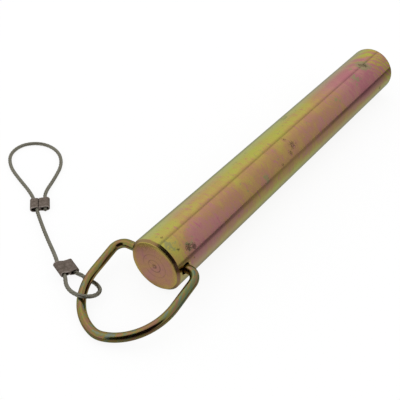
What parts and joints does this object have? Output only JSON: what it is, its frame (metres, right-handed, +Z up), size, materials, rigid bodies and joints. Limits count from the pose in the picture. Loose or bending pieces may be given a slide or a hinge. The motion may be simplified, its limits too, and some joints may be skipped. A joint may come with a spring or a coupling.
{
  "type": "tow pin",
  "caption": "Plain round steel tow pin with a swinging wire bail through its end and a short wire rope lanyard crimped to the bail",
  "frame": {"origin": "centre of the bail-end face, on the pin's axis, 16 mm above the ground that the part lies on", "axes": "+X along the pin, from the bail end to the plain end; +Z up; the lanyard lies on the +Y side"},
  "size_m": [0.2963, 0.1796, 0.032],
  "materials": {
    "pin_steel": "turned steel bar, zinc plated and yellow passivated, with green and pink tints",
    "bail_wire": "drawn steel wire, zinc plated and yellow passivated, olive and gold",
    "rope_steel": "stranded galvanised wire rope, dull grey",
    "ferrule_steel": "folded sheet crimp sleeve, dull grey-brown, scuffed by the crimping jaws"
  },
  "bodies": {
    "pin": {"pin": "pin_steel"},
    "bail": {"bail": "bail_wire", "wire_rope": "rope_steel", "bail_ferrule": "ferrule_steel", "eye_ferrule": "ferrule_steel"}
  },
  "joints": [
    {"name": "bail_swing", "type": "hinge", "parent": "pin", "child": "bail", "pos_m": [0.007, 0, 0], "axis": [0, 0.9936, -0.1132], "range_deg": [-144, 172]}
  ]
}
